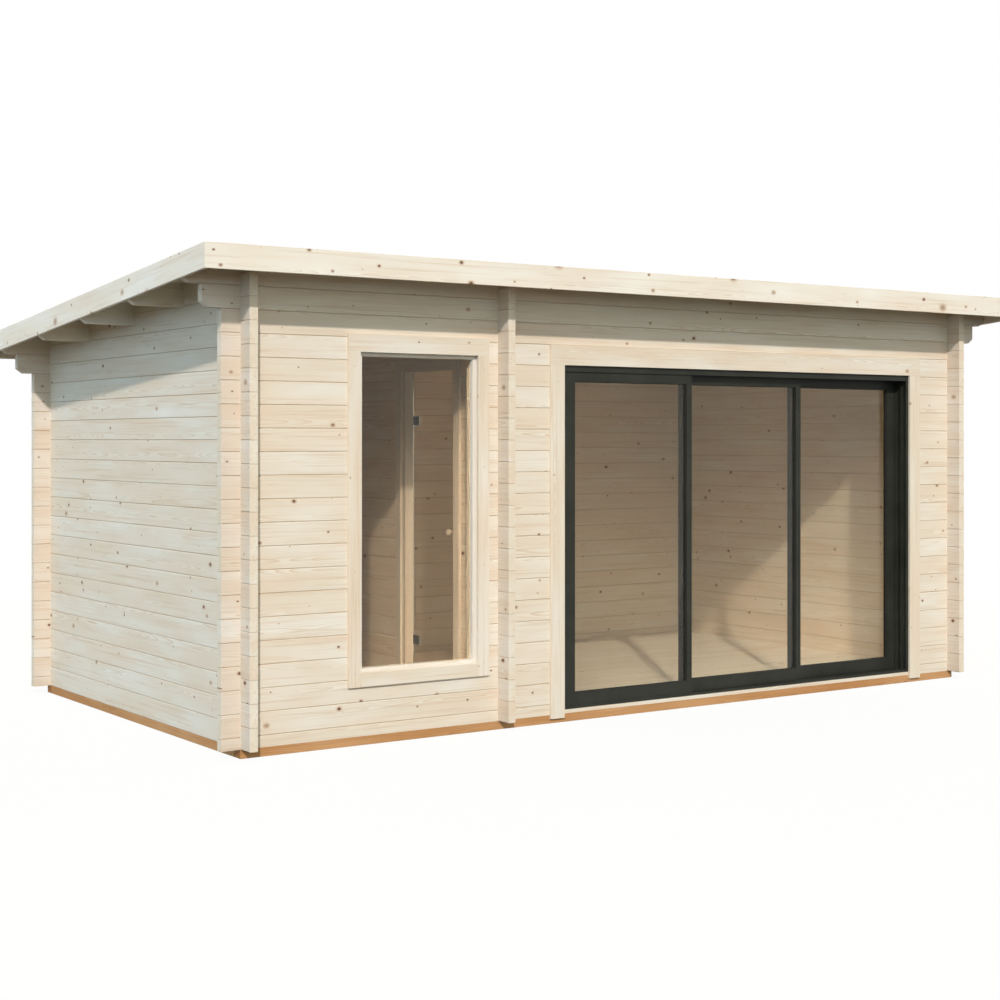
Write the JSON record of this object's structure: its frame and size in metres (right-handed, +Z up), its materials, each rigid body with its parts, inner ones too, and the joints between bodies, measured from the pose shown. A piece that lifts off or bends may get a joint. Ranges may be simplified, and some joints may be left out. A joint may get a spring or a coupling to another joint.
{
  "type": "log sauna cabin with sliding door",
  "caption": "Monopitch log cabin with a sauna room behind a tall window and a lounge behind a sliding glass door.",
  "frame": {"origin": "ground level, midway between the outer faces of the log walls, which is the centre of the roof in plan", "axes": "+X along the front from the window to the sliding door, +Y from the front to the back, +Z up"},
  "size_m": [5.678, 3.261, 2.4302],
  "materials": {
    "spruce_logs": "machined untreated spruce, matt",
    "planed_spruce": "planed untreated spruce, matt",
    "floor_boards": "planed spruce boards, matt",
    "roof_boards": "planed spruce boards, matt",
    "treated_timber": "pressure treated timber, matt",
    "turned_wood": "turned and sanded",
    "anthracite_aluminium": "anthracite powder coat, satin",
    "clear_glass": "clear float glass, polished",
    "tinted_glass": "bronze tinted safety glass, polished",
    "satin_steel": "satin",
    "roofing_felt": "mineral surfaced bitumen felt"
  },
  "bodies": {
    "cabin": {"foundation_front": "treated_timber", "foundation_back": "treated_timber", "foundation_cross": "treated_timber", "floor_joists": "treated_timber", "sauna_floor": "floor_boards", "lounge_floor": "floor_boards", "front_wall_low": "spruce_logs", "front_wall_left": "spruce_logs", "front_wall_middle": "spruce_logs", "front_wall_right": "spruce_logs", "front_wall_head": "spruce_logs", "front_bracket_log": "spruce_logs", "front_plate": "spruce_logs", "back_wall": "spruce_logs", "back_bracket_log": "spruce_logs", "back_plate": "spruce_logs", "left_wall": "spruce_logs", "right_wall": "spruce_logs", "partition_front": "spruce_logs", "partition_back": "spruce_logs", "partition_head": "spruce_logs", "purlins": "spruce_logs", "roof_boards": "roof_boards", "roof_felt": "roofing_felt", "fascia_front": "planed_spruce", "fascia_back": "planed_spruce", "fascia_sides": "planed_spruce", "window_frame": "planed_spruce", "window_glass": "clear_glass", "window_casing_sides": "planed_spruce", "window_casing_ends": "planed_spruce", "door_casing_sides": "planed_spruce", "door_casing_top_board": "planed_spruce", "door_sill": "planed_spruce", "slider_head": "anthracite_aluminium", "slider_head_fins": "anthracite_aluminium", "slider_track": "anthracite_aluminium", "slider_track_rails": "anthracite_aluminium", "slider_jambs": "anthracite_aluminium", "slider_jamb_fins": "anthracite_aluminium", "sauna_door_frame": "planed_spruce", "sauna_door_casings": "planed_spruce", "sauna_door_hinges": "satin_steel"},
    "left_panel": {"left_panel": "anthracite_aluminium", "left_glass": "clear_glass"},
    "middle_panel": {"middle_panel": "anthracite_aluminium", "middle_glass": "clear_glass"},
    "right_panel": {"right_panel": "anthracite_aluminium", "right_glass": "clear_glass"},
    "sauna_door": {"sauna_door_glass": "tinted_glass", "sauna_door_clamps": "satin_steel", "sauna_door_knobs": "turned_wood"}
  },
  "joints": [
    {"name": "left_panel_slide", "type": "slide", "parent": "cabin", "child": "left_panel", "axis": [1, 0, 0], "range_m": [0, 1.772]},
    {"name": "middle_panel_slide", "type": "slide", "parent": "cabin", "child": "middle_panel", "axis": [1, 0, 0], "range_m": [-0.871, 0.871]},
    {"name": "right_panel_slide", "type": "slide", "parent": "cabin", "child": "right_panel", "axis": [1, 0, 0], "range_m": [-1.772, 0]},
    {"name": "sauna_door_hinge", "type": "hinge", "parent": "cabin", "child": "sauna_door", "pos_m": [-0.94, -0.3665, 1.015], "axis": [0, 0, 1], "range_deg": [0, 100]}
  ]
}
